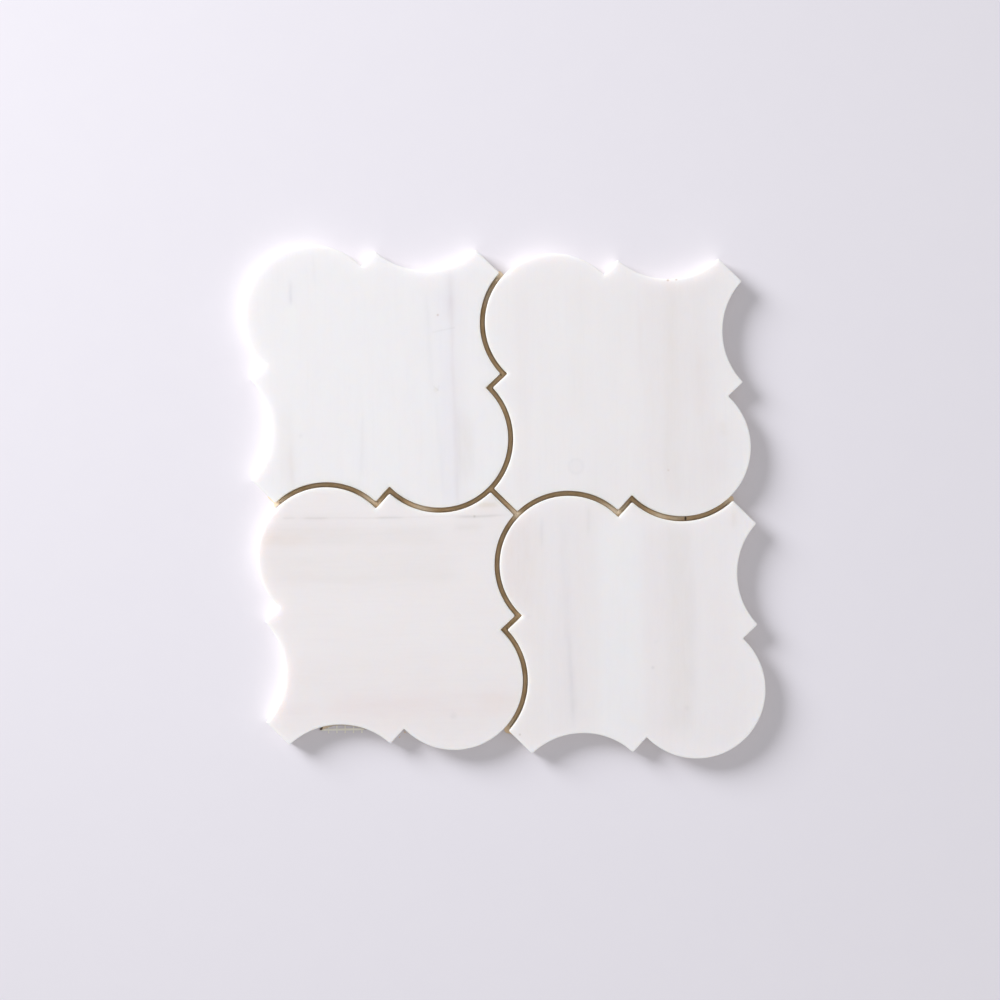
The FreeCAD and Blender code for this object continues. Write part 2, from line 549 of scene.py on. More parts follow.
class Finish(Tree):
    """A material on the principled shader, with its pattern on the piece's own coordinates."""

    def __init__(self, name, **constants):
        material = bpy.data.materials.new(name)
        material.use_nodes = True
        super().__init__(material.node_tree)
        self.material = material
        self.place = self.scaled(self.node("ShaderNodeTexCoord", {}, {}, "Object"), 1 / MM)
        self.shader = self.tree.nodes.new("ShaderNodeBsdfPrincipled")
        for label, value in constants.items():
            self.shader.inputs[label.replace("_", " ")].default_value = value
        end = self.tree.nodes.new("ShaderNodeOutputMaterial")
        self.tree.links.new(self.shader.outputs["BSDF"], end.inputs["Surface"])

    def paint(self, label, value):
        self.feed(self.shader.inputs[label], value)

    def relief(self, height, depth):
        """Bump from a height between 0 and 1, depth being its full height in millimetres."""
        values = {"Strength": 1.0, "Distance": depth * MM, "Height": height}
        self.paint("Normal", self.node("ShaderNodeBump", {}, values, "Normal"))

    def edge_distance(self, place):
        """How far inside the middle line of the joint round that tile each point lies."""
        lobe, radius = middle_lobe()
        bay = step_middle() * 2 - lobe
        step, middle = along_step(), step_middle()
        lobes, flats = TILE_PLACES[place]
        turn = math.radians(-PATTERN_TURN)
        x, y, _ = self.parts(self.place)
        u = abs(x * math.cos(turn) - y * math.sin(turn) - lobes * LOBE_PITCH / 2)
        v = abs(x * math.sin(turn) + y * math.cos(turn) - flats * FLAT_PITCH / 2)
        beyond = (u - middle.x) * step.y - (v - middle.y) * step.x
        in_lobe = radius - self.length(u - lobe.x, v - lobe.y)
        off_bay = self.length(u - bay.x, v - bay.y) - radius
        inner = self.math("MAXIMUM", in_lobe, beyond * -1)
        inner = self.math("MINIMUM", inner, self.math("MINIMUM", off_bay, FLAT_PITCH / 2 - v))
        return self.blend_numbers(self.math("GREATER_THAN", beyond, 0.0), inner, in_lobe)

    def length(self, x, y):
        return (x * x + y * y) ** 0.5

    def stretched(self, x_grain, y_grain, z_grain):
        """The piece's coordinates with each axis divided by its own grain size."""
        x, y, z = self.parts(self.place)
        return self.combined(x / x_grain, y / y_grain, z / z_grain)


GROUND = {
    "upper_left": (0.889, 0.882, 0.924, 1),
    "upper_right": (0.882, 0.866, 0.898, 1),
    "lower_left": (0.880, 0.853, 0.880, 1),
    "lower_right": (0.888, 0.866, 0.902, 1),
}
SMOKE = (0.46, 0.47, 0.54, 1)
ROSE = (0.62, 0.49, 0.46, 1)
SAND = (0.64, 0.57, 0.45, 1)
MILK = (0.90, 0.92, 0.95, 1)
PLUM = (0.50, 0.43, 0.48, 1)
LILAC = (0.72, 0.72, 0.90, 1)
BISTRE = (0.55, 0.50, 0.40, 1)
AMBER = (0.76, 0.52, 0.30, 1)
BLUSH = (0.80, 0.66, 0.66, 1)
CLEAR = (0.89, 0.93, 1.0, 1)
INK = (0.20, 0.19, 0.15, 1)
RUST = (0.36, 0.20, 0.11, 1)
# painted highlight for the face's edge and arris
EDGE_HIGHLIGHT_PAINT = (0.98, 0.98, 0.99, 1)
SAWN = (0.93, 0.88, 0.77, 1)

# The veins of each tile: where they lie across the bed, their half width, where they start and end
# along it, how far they lean, their colour and their strength. The lower left tile's bed lies along X.
VEINS = {
    "upper_left": [
        (-126.0, 1.0, 117, 136, 0, SMOKE, 0.17),
        (-126.0, 4.0, 98, 122, 0, MILK, 0.14),
        (-111.6, 0.9, 128, 154, 0, SMOKE, 0.045),
        (-129.5, 5.0, 2, 66, -0.05, SAND, 0.08),
        (-126.5, 1.4, 2, 40, -0.05, ROSE, 0.08),
        (-84.5, 1.0, 8, 60, 0.04, INK, 0.045),
        (-49.0, 3.0, 20, 62, 0, SAND, 0.03),
        (-40.0, 1.3, -2, 128, -0.08, SMOKE, 0.03),
        (-43.5, 1.0, 60, 130, -0.06, SMOKE, 0.045),
        (-33.5, 4.2, -12, 136, -0.02, LILAC, 0.10),
        (-28.6, 1.2, -12, 136, -0.02, PLUM, 0.12),
        (-30.5, 2.6, 104, 146, 0, PLUM, 0.11),
        (-24.5, 4.0, -12, 136, -0.01, PLUM, 0.03),
        (-21.5, 4.2, 8, 58, 0, SAND, 0.10),
        (-26.0, 1.0, 4, 66, 0, INK, 0.04),
    ],
    "upper_right": [
        (12.0, 4.0, -8, 136, 0, ROSE, 0.035),
        (45.0, 5.0, 40, 140, 0, SAND, 0.03),
        (83.0, 1.4, 60, 120, 0, ROSE, 0.04),
        (94.0, 10.0, -12, 142, 0, ROSE, 0.05),
        (101.5, 4.5, -12, 142, 0, SAND, 0.05),
        (101.5, 1.6, 60, 124, 0, SAND, 0.04),
        (98.0, 1.6, 6, 80, 0, SAND, 0.03),
        (115.0, 12.0, -12, 142, 0, ROSE, 0.045),
        (113.0, 8.0, 50, 142, 0, SAND, 0.02),
        (118.0, 2.6, 40, 96, 0, ROSE, 0.05),
        (127.0, 8.0, 6, 52, 0, ROSE, 0.04),
        (131.6, 1.8, 36, 48, 0, BISTRE, 0.06),
    ],
    "lower_left": [
        (-8.4, 0.6, -122, -103, 0, INK, 0.10),
        (-8.4, 0.6, -134, -124, 0, INK, 0.08),
        (-8.4, 0.55, -79, -58, 0, INK, 0.12),
        (-8.3, 0.5, -134, 4, 0, INK, 0.05),
        (-8.6, 0.7, -34, 4, 0.035, INK, 0.13),
        (-15.0, 2.0, -34, -10, 0.05, INK, 0.055),
        (-1.8, 1.6, -18, -1, 0, SAND, 0.28),
        (-19.5, 6.0, -156, -30, 0, BISTRE, 0.07),
        (-14.0, 9.0, -160, -84, 0, ROSE, 0.04),
        (-38.0, 9.5, -156, -22, 0, BISTRE, 0.06),
        (-44.5, 2.4, -140, -18, 0, BISTRE, 0.03),
        (-102.0, 10.0, -150, -30, 0, ROSE, 0.035),
        (-121.0, 3.2, -156, -30, 0.02, BLUSH, 0.09),
        (-120.5, 7.5, -112, 14, 0, BLUSH, 0.12),
        (-21.5, 3.4, -156, -112, 0, AMBER, 0.06),
        (-119.0, 4.4, -24, 24, 0, AMBER, 0.05),
        (-130.0, 6.0, -150, 0, 0, ROSE, 0.03),
    ],
    "lower_right": [
        (7.0, 10.0, -72, 6, 0, ROSE, 0.085),
        (15.0, 9.0, -160, -2, 0, SAND, 0.08),
        (37.0, 9.0, -150, 6, 0, SAND, 0.03),
        (2.5, 3.4, -72, 6, 0, AMBER, 0.05),
        (22.4, 0.9, -30, -8, 0, SMOKE, 0.09),
        (34.0, 10.0, -150, 6, -0.03, SMOKE, 0.035),
        (37.0, 2.4, -138, -6, -0.035, SMOKE, 0.055),
        (38.6, 1.1, -140, -72, -0.035, SMOKE, 0.10),
        (50.5, 0.9, -24, 0, 0, INK, 0.06),
        (49.5, 6.5, -150, 6, 0, SAND, 0.05),
        (69.0, 14.5, -156, -4, 0, CLEAR, 0.24),
        (90.0, 8.0, -156, -4, 0, ROSE, 0.05),
        (105.0, 7.5, -146, -6, 0, BISTRE, 0.085),
        (103.0, 7.0, -150, 6, 0, SAND, 0.03),
        (112.0, 2.2, -124, -34, 0, SMOKE, 0.04),
        (125.0, 10.0, -160, -70, 0, PLUM, 0.012),
        (137.3, 1.8, -19, -5, 0, SAND, 0.12),
    ],
}

# Small marks: x, y, radius, colour and strength
SPECKS = {
    "upper_left": [
        (-38.1, 112.2, 0.9, RUST, 0.34),
        (-121.0, 41.0, 1.6, SMOKE, 0.10),
        (-39.8, 67.5, 1.8, SAND, 0.14),
    ],
    "upper_right": [
        (99.8, 131.4, 1.1, RUST, 0.8),
        (104.8, 131.8, 1.0, RUST, 0.6),
        (98.6, 17.6, 0.9, RUST, 0.20),
    ],
    "lower_left": [
        (-17.7, -8.6, 1.0, INK, 0.26),
        (-31.8, -127.6, 2.6, SMOKE, 0.12),
    ],
    "lower_right": [
        (87.9, -100.3, 1.4, SMOKE, 0.22),
        (7.8, -139.4, 0.9, INK, 0.30),
        (108.0, -124.8, 2.0, SMOKE, 0.10),
        (13.5, -69.0, 2.2, SMOKE, 0.10),
        (90.0, -85.0, 1.6, SMOKE, 0.06),
    ],
}

# Round marks with a darker rim: x, y and radius
RINGS = {"upper_right": [(43.4, 20.6, 4.3)]}

# Short scratches: from x, y to x, y
SCRATCHES = {
    "upper_left": [
        (-41.0, 102.0, -28.5, 104.5),
        (-41.0, 69.5, -38.6, 67.2),
        (-38.6, 67.2, -38.0, 69.8),
    ],
}
LAID_FLAT = {"lower_left"}  # tiles whose bed lies along X

# How steeply a vein's sides fall off: soft for a narrow one, with a flat middle for a broad band
NARROW = 3.5
VEIN_FALLOFF = 2.6
BAND_FALLOFF = 5.0
VEIN_END = 18.0  # the length over which a vein fades out, or a third of a short one
BED_SLOPE = 0.25  # how far the bed shifts aside for each millimetre of depth
GLOW_DEPTH = 0.006  # how far light runs inside the stone, in metres
EDGE_HIGHLIGHT_WIDTH = 2.4  # from the edge in to where the painted highlight along the edge ends
POLISHED_ROUGHNESS = 0.24
CUT_ROUGHNESS = 0.62
STONE_RELIEF = 0.03


def marble(place, seed):
    """White marble: bedded ground, soft bands and fine veins, polished above and cut at the sides."""
    finish = Finish("marble_" + place, IOR=1.5, Subsurface_Weight=1.0, Subsurface_Radius=(1.0, 0.9, 0.8),
                    Subsurface_Scale=GLOW_DEPTH)
    x, y, z = finish.parts(finish.place)
    across, along = (y, x) if place in LAID_FLAT else (x, y)
    dip = across + BED_SLOPE * (z - FACE_HEIGHT)

    # the bed sways slowly, and every band with it
    slow = finish.noise(finish.combined(along / 60 + seed, dip / 90, z / 60), 1.0, 2.0) - 0.5
    fine = finish.noise(finish.combined(along / 9 + seed, dip / 20, z / 20), 1.0, 3.0) - 0.5
    bed = dip + 2.4 * slow + 0.6 * fine

    # ground: clouds and long streaks of a slightly different white
    clouds = finish.noise(finish.combined(bed / 16 + seed, along / 70, z / 30), 1.0, 4.0, 0.55)
    streaks = finish.noise(finish.combined(bed / 1.6 + seed, along / 45, z / 12), 1.0, 4.0, 0.6)
    grain = finish.noise(finish.place, 1.1, 3.0, 0.6)
    colour = finish.blend(finish.smooth(clouds, 0.35, 0.75) * 0.03, GROUND[place], ROSE)
    colour = finish.blend(finish.smooth(streaks, 0.45, 0.8) * 0.03, colour, SMOKE)
    colour = finish.blend(finish.smooth(streaks, 0.5, 0.2) * 0.06, colour, MILK)
    colour = finish.blend(finish.smooth(grain, 0.4, 0.7) * 0.012, colour, SMOKE)

    patches = finish.noise(finish.combined(bed / 3 + seed, along / 14, z / 10), 1.0, 3.0, 0.6)
    for middle, width, start, end, lean, tint, strength in VEINS[place]:
        centre = middle + lean * (along - (start + end) / 2) if lean else middle
        aside = (bed - centre) / width
        falloff = BAND_FALLOFF if width > NARROW else VEIN_FALLOFF
        profile = 1 / (1 + abs(aside) ** falloff)
        fade = min(VEIN_END, (end - start) / 3)
        ends = finish.smooth(along, start, start + fade) * finish.smooth(along, end, end - fade)
        amount = profile * ends * (0.5 + patches) * strength
        colour = finish.blend(amount, colour, tint)
    for spot_x, spot_y, radius, tint, strength in SPECKS[place]:
        away = finish.length(x - spot_x, y - spot_y) + 1.2 * radius * (patches - 0.5)
        colour = finish.blend(finish.smooth(away, radius * 1.3, 0.0) * strength, colour, tint)
    for spot_x, spot_y, radius in RINGS.get(place, []):
        away = finish.length(x - spot_x, y - spot_y)
        rim = finish.smooth(abs(away - radius), 1.5, 0.0)
        colour = finish.blend(rim * 0.07, colour, SMOKE)
        colour = finish.blend(finish.smooth(away, radius, radius - 1) * 0.03, colour, SMOKE)
    for ax, ay, bx, by in SCRATCHES.get(place, []):
        run = Vector((bx - ax, by - ay))
        reach = ((x - ax) * run.x + (y - ay) * run.y) / run.length_squared
        reach = finish.math("MINIMUM", finish.math("MAXIMUM", reach, 0.0), 1.0)
        away = finish.length(x - ax - reach * run.x, y - ay - reach * run.y)
        colour = finish.blend(finish.smooth(away, 0.9, 0.0) * (0.4 + patches) * 0.06, colour, INK)

    # a painted highlight whitens the face along its edge and on its arris, and the stone is rough from the
    # saw below it
    edge = finish.edge_distance(place) - JOINT_WIDTH / 2
    colour = finish.blend(finish.smooth(edge, EDGE_HIGHLIGHT_WIDTH, 0.4) * 0.28, colour, EDGE_HIGHLIGHT_PAINT)
    colour = finish.blend(finish.smooth(edge, 0.5, 0.1) * 0.5, colour, EDGE_HIGHLIGHT_PAINT)
    colour = finish.blend(finish.smooth(z, FACE_HEIGHT - 0.6, FACE_HEIGHT - 1.6) * 0.8, colour, SAWN)
    finish.paint("Base Color", colour)

    # the face is polished, the walls are cut by a jet and the back is sawn
    polish = finish.smooth(z, FACE_HEIGHT - ARRIS, FACE_HEIGHT - 0.05)
    is_back = finish.smooth(z, BACKING_THICKNESS + 0.1, BACKING_THICKNESS)
    mottle = finish.noise(finish.place, 0.35, 4.0, 0.6)
    face_roughness = POLISHED_ROUGHNESS + 0.10 * mottle + 0.05 * streaks
    cut_roughness = CUT_ROUGHNESS + 0.15 * grain
    finish.paint("Roughness", finish.blend_numbers(polish, cut_roughness, face_roughness))
    jet = finish.noise(finish.combined(x / 0.35, y / 0.35, (z + 2 * slow) / 9), 1.0, 3.0, 0.6)
    saw = finish.noise(finish.combined((x + y) / 0.8, (x - y) / 60, 0.0), 1.0, 2.0, 0.6)
    pits = 1 - finish.smooth(finish.noise(finish.place, 1.9, 3.0, 0.5), 0.70, 0.78)
    cut = finish.blend_numbers(is_back, jet, saw)
    finish.relief(finish.blend_numbers(polish, cut * 4, 0.5 * pits + 0.05 * grain), STONE_RELIEF)
    return finish.material


ADHESIVE = (0.885, 0.67, 0.447, 1)
ADHESIVE_DARK = (0.765, 0.548, 0.322, 1)
ADHESIVE_CREAM = (0.95, 0.865, 0.75, 1)
# painted shade for the adhesive where it meets the stone
ADHESIVE_PAINTED_SHADE = (0.378, 0.26, 0.163, 1)
ADHESIVE_GREYED = (0.56, 0.49, 0.42, 1)
ADHESIVE_RELIEF = 0.25
NEAR_BLACK = (0.06, 0.035, 0.025, 1)

# Where the adhesive is painted lighter, as pools of light in the joints: x, y and reach
PAINTED_LIGHT_PATCHES = [
    (65, -5, 9), (72, -5, 7), (94, -10, 8), (103, -11, 6), (-49, -3, 9), (-80, 2, 9), (5, -6, 6),
    (10, -8, 6), (-2, 134, 7), (-8, 124, 6), (134, -2, 5), (-135, 2, 8), (2, -134, 5),
]

# Where it is greyer and darker, and where it has near-black marks: x, y and reach
GREYED_PATCHES = [(-98.5, -132.5, 13), (-86.0, -134.0, 8)]
DARK_MARKS = [(109.1, -11.4, 0.8), (-111.9, -135.3, 1.6)]


def joint_distance(finish):
    """How far each point lies from the middle line of the nearest joint."""
    upper, lower = (abs(finish.edge_distance(place)) for place in ("upper_right", "lower_left"))
    return finish.math("MINIMUM", upper, lower)


def adhesive():
    """Tan adhesive: mottled, a little glossy, with painted light in patches and painted shade where it meets
    the stone.
    """
    finish = Finish("adhesive", IOR=1.45)
    x, y, z = finish.parts(finish.place)
    blotches = finish.noise(finish.place, 0.12, 4.0, 0.6)
    flecks = finish.noise(finish.place, 0.9, 3.0, 0.6)
    colour = finish.blend(finish.smooth(blotches, 0.4, 0.7), ADHESIVE, ADHESIVE_DARK)
    # painted light: pools of light where it reaches into the joints
    for spot_x, spot_y, reach in PAINTED_LIGHT_PATCHES:
        away = finish.length(x - spot_x, y - spot_y) + 8 * (blotches - 0.5)
        colour = finish.blend(finish.smooth(away, reach * 1.2, 0.0) * 0.62, colour, ADHESIVE_CREAM)
    colour = finish.blend(finish.smooth(flecks, 0.60, 0.75) * 0.4, colour, ADHESIVE_CREAM)
    near = joint_distance(finish)
    stands = finish.smooth(z, BACKING_THICKNESS, BACKING_THICKNESS + 0.15)
    painted_shade_by_walls = finish.smooth(near, 0.7, 1.5) * finish.smooth(near, 2.6, 1.5)
    # painted shade along the foot of the joint walls
    colour = finish.blend(painted_shade_by_walls * stands * 0.75, colour, ADHESIVE_PAINTED_SHADE)
    # greyer, darker patches along the edge of the bay with the loose threads
    for spot_x, spot_y, reach in GREYED_PATCHES:
        away = finish.length(x - spot_x, y - spot_y)
        greyed = finish.smooth(away, reach * 1.2, reach * 0.5)
        colour = finish.blend(greyed * 0.85, colour, ADHESIVE_GREYED)
    # near-black marks: the dark drop and a dark line in a joint
    for spot_x, spot_y, reach in DARK_MARKS:
        away = finish.length(x - spot_x, (y - spot_y) * 0.5)
        colour = finish.blend(finish.smooth(away, reach, reach * 0.5) * 0.9, colour, NEAR_BLACK)
    finish.paint("Base Color", colour)
    finish.paint("Roughness", 0.42 + 0.3 * flecks)
    finish.relief(blotches * 0.6 + flecks * 0.4, ADHESIVE_RELIEF)
    return finish.material


YARN = (0.98, 0.97, 0.92, 1)
YARN_STAINED = (0.88, 0.80, 0.66, 1)
YARN_SHADED = (0.80, 0.75, 0.64, 1)
FILAMENT = 0.09
FILAMENT_RUN = 6.0  # the length over which one filament's shade changes
YARN_RELIEF = 0.04


def glass_yarn(name, is_warp):
    """Cream glass yarn, with its fine filaments along the thread."""
    finish = Finish(name, IOR=1.5)
    x_grain, y_grain = (FILAMENT, FILAMENT_RUN) if is_warp else (FILAMENT_RUN, FILAMENT)
    filaments = finish.noise(finish.stretched(x_grain, y_grain, FILAMENT), 1.0, 2.0, 0.6)
    stain = finish.noise(finish.place, 0.08, 3.0, 0.6)
    colour = finish.blend(finish.smooth(stain, 0.45, 0.7) * 0.3, YARN, YARN_STAINED)
    colour = finish.blend(finish.smooth(filaments, 0.5, 0.8) * 0.2, colour, YARN_SHADED)
    finish.paint("Base Color", colour)
    finish.paint("Roughness", 0.45 + 0.25 * filaments)
    finish.relief(filaments, YARN_RELIEF)
    return finish.material


FLOOR_COLOUR = (0.808, 0.790, 0.873, 1)
FLOOR_COLOUR_DEEP = (0.804, 0.786, 0.870, 1)


def backdrop():
    finish = Finish("pale_floor", IOR=1.45)
    tooth = finish.noise(finish.place, 0.05, 3.0, 0.5)
    colour = finish.blend(finish.smooth(tooth, 0.3, 0.7), FLOOR_COLOUR, FLOOR_COLOUR_DEEP)
    finish.paint("Base Color", colour)
    finish.paint("Roughness", 0.7 + 0.1 * tooth)
    return finish.material


# The angles in degrees past which an edge of the stone, or of the net and its adhesive, is sharp
SHARP_STONE = 35
SHARP_NET = 50


def shade(piece, sharp_angle):
    """Smooth shading, but for edges that turn by more than the angle and the rims of the flat caps."""
    mesh = piece.data
    mesh.shade_smooth()
    mesh.set_sharp_from_angle(angle=math.radians(sharp_angle))
    sharp = mesh.attributes["sharp_edge"]
    for face in mesh.polygons:
        if face.loop_total > 4:
            for loop in face.loop_indices:
                sharp.data[mesh.loops[loop].edge_index].value = True


# The four tiles

slab = slab_maker()
for order, (place, cell) in enumerate(TILE_PLACES.items()):
    loop = [in_sheet(p, cell) for p in softened(outline(-JOINT_WIDTH / 2, POINT_SPACING), CORNER_PASSES)]
    tile = slab.make("marble_" + place, outline_mesh("outline_" + place, loop, CHIPS[place]), {
        "Underside": BACKING_THICKNESS * MM,
        "Thickness": TILE_THICKNESS * MM,
        "Arris": WORN_ARRIS * MM,
        "Wander": WALL_WANDER * MM,
        "Wall Rings": 5,
        "Arris Rings": 4,
        "Seed": 3.0 + order,
        "Finish": marble(place, 5.0 * order),
    })
    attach(tile, "root")
    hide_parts("tile_" + place)
    shade(tile, SHARP_STONE)


# The net and its adhesive

NET_MARGIN = JOINT_WIDTH / 2 + BACKING_INSET
NET_REACH = 160  # beyond the sheet's edge, from its middle
NET_SAMPLE = 0.25  # between the places where a thread is tested
YARN_LEVEL = 0.21  # from the floor to the middle of the yarns
YARN_THICKNESS = 0.15
YARN_WANDER = 0.5
WARP_WIDTH = 0.50
WARP_LIFT = 0.12  # a warp thread's two yarns pass over and under the weft
WARP_SWING = 0.26  # and lie this far aside between two wefts
WEFT_WIDTH = 1.25


def net_runs(fixed, is_warp):
    """The stretches of one thread that lie inside the net's cut edge."""
    places = np.arange(-NET_REACH, NET_REACH, NET_SAMPLE)
    still = np.full(len(places), fixed)
    x, y = (still, places) if is_warp else (places, still)
    inside = np.ones(len(places), bool)
    for turn in np.linspace(0, 2 * math.pi, 16, endpoint=False):
        inside &= in_cells(x + NET_MARGIN * math.cos(turn), y + NET_MARGIN * math.sin(turn))
    runs = []
    start = None
    for where, is_in in zip(places, inside):
        if is_in and start is None:
            start = where
        if not is_in and start is not None:
            runs.append((start, where - NET_SAMPLE))
            start = None
    return runs


def thread_lines(is_warp, crown):
    """Every line of the net in one direction, with the loose threads in the lower bay."""
    half_span = (LOOSE_THREADS - 1) * NET_PITCH / 2
    lines = []
    origin = crown.x + LOOSE_SHIFT if is_warp else crown.y - CROSSING_DROP
    first = math.ceil((-NET_REACH - origin) / NET_PITCH)
    last = math.floor((NET_REACH - origin) / NET_PITCH)
    for number in range(first, last + 1):
        fixed = origin + number * NET_PITCH
        is_loose = is_warp and abs(number) <= LOOSE_THREADS // 2
        for start, end in net_runs(fixed, is_warp):
            if is_loose and start < crown.y + 2 * NET_MARGIN < end:
                start = crown.y - LOOSE_LENGTH
            lines.append((fixed, start, end))
    if not is_warp:
        lines.append((origin, crown.x + LOOSE_SHIFT - half_span - NET_PITCH,
                      crown.x + LOOSE_SHIFT + half_span + CROSSING_END))
    return lines


def thread_mesh(name, lines, is_warp, strands):
    """The starting lines of the yarns, once for each strand of a thread."""
    points, edges, signs = [], [], []
    for fixed, start, end in lines:
        for sign in strands:
            for run in (start, end):
                points.append((fixed, run) if is_warp else (run, fixed))
                signs.append(float(sign))
            edges.append((len(points) - 2, len(points) - 1))
    return start_mesh(name, points, edges, strand=signs)


crown = bay_crown()
crossing = ((crown.x + LOOSE_SHIFT) * MM, (crown.y - CROSSING_DROP) * MM, 0.0)
yarn = thread_maker()
common = {
    "Step": NET_PITCH / 3 * MM, "Pitch": NET_PITCH * MM, "Level": YARN_LEVEL * MM,
    "Thickness": YARN_THICKNESS * MM, "Wander": YARN_WANDER * MM, "Crossing": crossing, "Seed": 11.0,
}
warp = yarn.make("net_warp", thread_mesh("warp_lines", thread_lines(True, crown), True, (1, -1)), {
    **common, "Sides": 4, "Lift": WARP_LIFT * MM, "Swing": WARP_SWING * MM, "Width": WARP_WIDTH * MM,
    "Across": (1.0, 0.0, 0.0), "Finish": glass_yarn("glass_warp", True),
})
weft = yarn.make("net_weft", thread_mesh("weft_lines", thread_lines(False, crown), False, (1,)), {
    **common, "Sides": 6, "Lift": 0.0, "Swing": 0.0, "Width": WEFT_WIDTH * MM,
    "Across": (0.0, 1.0, 0.0), "Finish": glass_yarn("glass_weft", False),
})

glue = adhesive()
BED_INSET = 4.8  # from the middle line of the joints in to the adhesive's ragged edge
BED_SWAY = 1.1  # how far that edge sways in long waves
BED_RIPPLE = 0.35  # and in short ones
BED_SPACING = 0.9  # between the points of that edge
BED_OVERLAP = 0.9  # how far a bed reaches over the middle line of an inner joint
OUTER_REACH = 2.2  # the edge is an outer one where no tile lies this many insets further out
MOUTH = 4.0  # how far inside the sheet's edge the adhesive of a joint ends
MOUTH_SHARE = 0.9  # how much of a ring that wide has to lie in the sheet
UNEVENNESS = 1.6  # of the beads' crowns
BED_UNDERSIDE = 0.27
BED_THICKNESS = 0.24
BED_STEP = 0.01  # each bed's underside lies this much above the last one's, and all end at one height
BED_ARRIS = 0.05


def bed_loop(place):
    """The edge of the adhesive under one tile, which meets the next beds under the joints."""
    lobes, flats = TILE_PLACES[place]
    loop = []
    for across, up in ((1, 1), (1, -1), (-1, -1), (-1, 1)):
        neighbour = (lobes + across, flats + up) in TILE_PLACES.values()
        growth = BED_OVERLAP if neighbour else -BED_INSET
        points = [Vector((p.x * across, p.y * up)) for p in quarter(growth, BED_SPACING)]
        if neighbour:
            end = points[-1].copy()
            points = [p for p in points if (p - end).length > MOUTH]
        loop += points if across == up else points[::-1]
    filled = []
    for point, after in zip(loop, loop[1:] + loop[:1]):
        is_gap = (after - point).length > 2 * BED_SPACING
        filled += along_line(point, after, BED_SPACING) if is_gap else [point]
    ragged = []
    for point in softened(filled, CORNER_PASSES):
        spot = in_sheet(point, TILE_PLACES[place])
        waves = math.sin(spot.x * 0.31 + spot.y * 0.17) + math.sin(spot.x * 0.83 - spot.y * 0.59 + 1.3)
        sway = BED_SWAY * 0.5 * waves + BED_RIPPLE * math.sin(spot.x * 2.1 + spot.y * 1.7)
        is_outer = not in_cells(*(spot * (1 + OUTER_REACH * BED_INSET / spot.length)))
        ragged.append(spot + spot.normalized() * (sway if is_outer else 0.0))
    return ragged


bed_pieces = []
for order, place in enumerate(TILE_PLACES):
    bed = slab.make("adhesive_" + place, outline_mesh("bed_" + place, bed_loop(place), []), {
        "Underside": (BED_UNDERSIDE + BED_STEP * order) * MM,
        "Thickness": (BED_THICKNESS - BED_STEP * order) * MM,
        "Arris": BED_ARRIS * MM,
        "Wander": 0.0,
        "Wall Rings": 1,
        "Arris Rings": 1,
        "Seed": 40.0 + order,
        "Finish": glue,
    })
    bed_pieces.append(bed)


def section_object(name, profile):
    """A closed profile that a path is swept with: across, and height above the floor."""
    mesh = start_mesh(name, profile, [(i, (i + 1) % len(profile)) for i in range(len(profile))])
    section = bpy.data.objects.new(name, mesh)
    bpy.context.scene.collection.objects.link(section)
    return section


# a low crowned bead of adhesive fills the bottom of each joint
CROWN = [
    (-1.62, 0.42), (1.62, 0.42), (1.62, 0.72), (1.45, 0.8), (1.15, 1.05), (0.6, 1.5), (0.0, 1.65),
    (-0.6, 1.5), (-1.15, 1.05), (-1.45, 0.8), (-1.62, 0.72),
]


def joint_paths():
    """The middle lines of the five joints."""
    line = quarter(0, POINT_SPACING)
    paths = []
    for flats, mirror_lobes in ((1, -1), (1, 1), (-1, -1), (-1, 1)):
        path = [Vector((p.x * mirror_lobes, p.y * -flats)) for p in line]
        paths.append([in_sheet(p, (0, flats)) for p in path])
    flat_end = Vector((line[0].x, 0))
    flat = along_line(-flat_end, flat_end, POINT_SPACING)
    paths.append([in_sheet(p, (0, 0)) for p in flat])
    return paths


def trimmed(path):
    """The path without the points near the sheet's edge."""
    kept = []
    turns = np.linspace(0, 2 * math.pi, 24)
    for point in path:
        around = in_cells(point.x + MOUTH * np.cos(turns), point.y + MOUTH * np.sin(turns))
        if around.mean() > MOUTH_SHARE:
            kept.append(point)
    return kept


def bead(name, paths, profile, film, seed):
    """Adhesive of that profile along every path."""
    points, edges = [], []
    for path in paths:
        edges += [(len(points) + i, len(points) + i + 1) for i in range(len(path) - 1)]
        points += path
    section = section_object(name + "_section", profile)
    made = bead_maker().make(name, start_mesh(name + "_lines", points, edges), {
        "Section": section, "Film": film * MM, "Unevenness": UNEVENNESS, "Seed": seed, "Finish": glue,
    })
    bpy.data.objects.remove(section)
    return made


joints = bead("adhesive_joints", [trimmed(path) for path in joint_paths()], CROWN, BACKING_THICKNESS, 21.0)

# a thin line of it runs along the edge of the bay with the loose threads, from the dark drop, and is greyer
# and darker there
RIM = [(-0.7, 0.3), (0.0, 0.2), (0.7, 0.3), (0.8, 0.5), (0.5, 0.85), (0.0, 0.95), (-0.5, 0.85), (-0.8, 0.5)]
RIM_START = -111.2
RIM_END = -84.0
RIM_STEP = 0.5
RIM_BEND = -104.0  # short of here the line leaves the edge towards the drop
RIM_SLOPE = 0.15
RIM_OFFSET = 0.5  # from the tile's edge out to the line
bay_radius = middle_lobe()[1] + JOINT_WIDTH / 2
rim_path = []
for x in np.arange(RIM_START, RIM_END, RIM_STEP):
    edge_y = crown.y - bay_radius + math.sqrt(bay_radius**2 - (x - crown.x) ** 2)
    rim_path.append(Vector((x, edge_y - RIM_OFFSET - RIM_SLOPE * max(0.0, RIM_BEND - x))))
rim = bead("adhesive_rim", [rim_path], RIM, 0.3, 23.0)

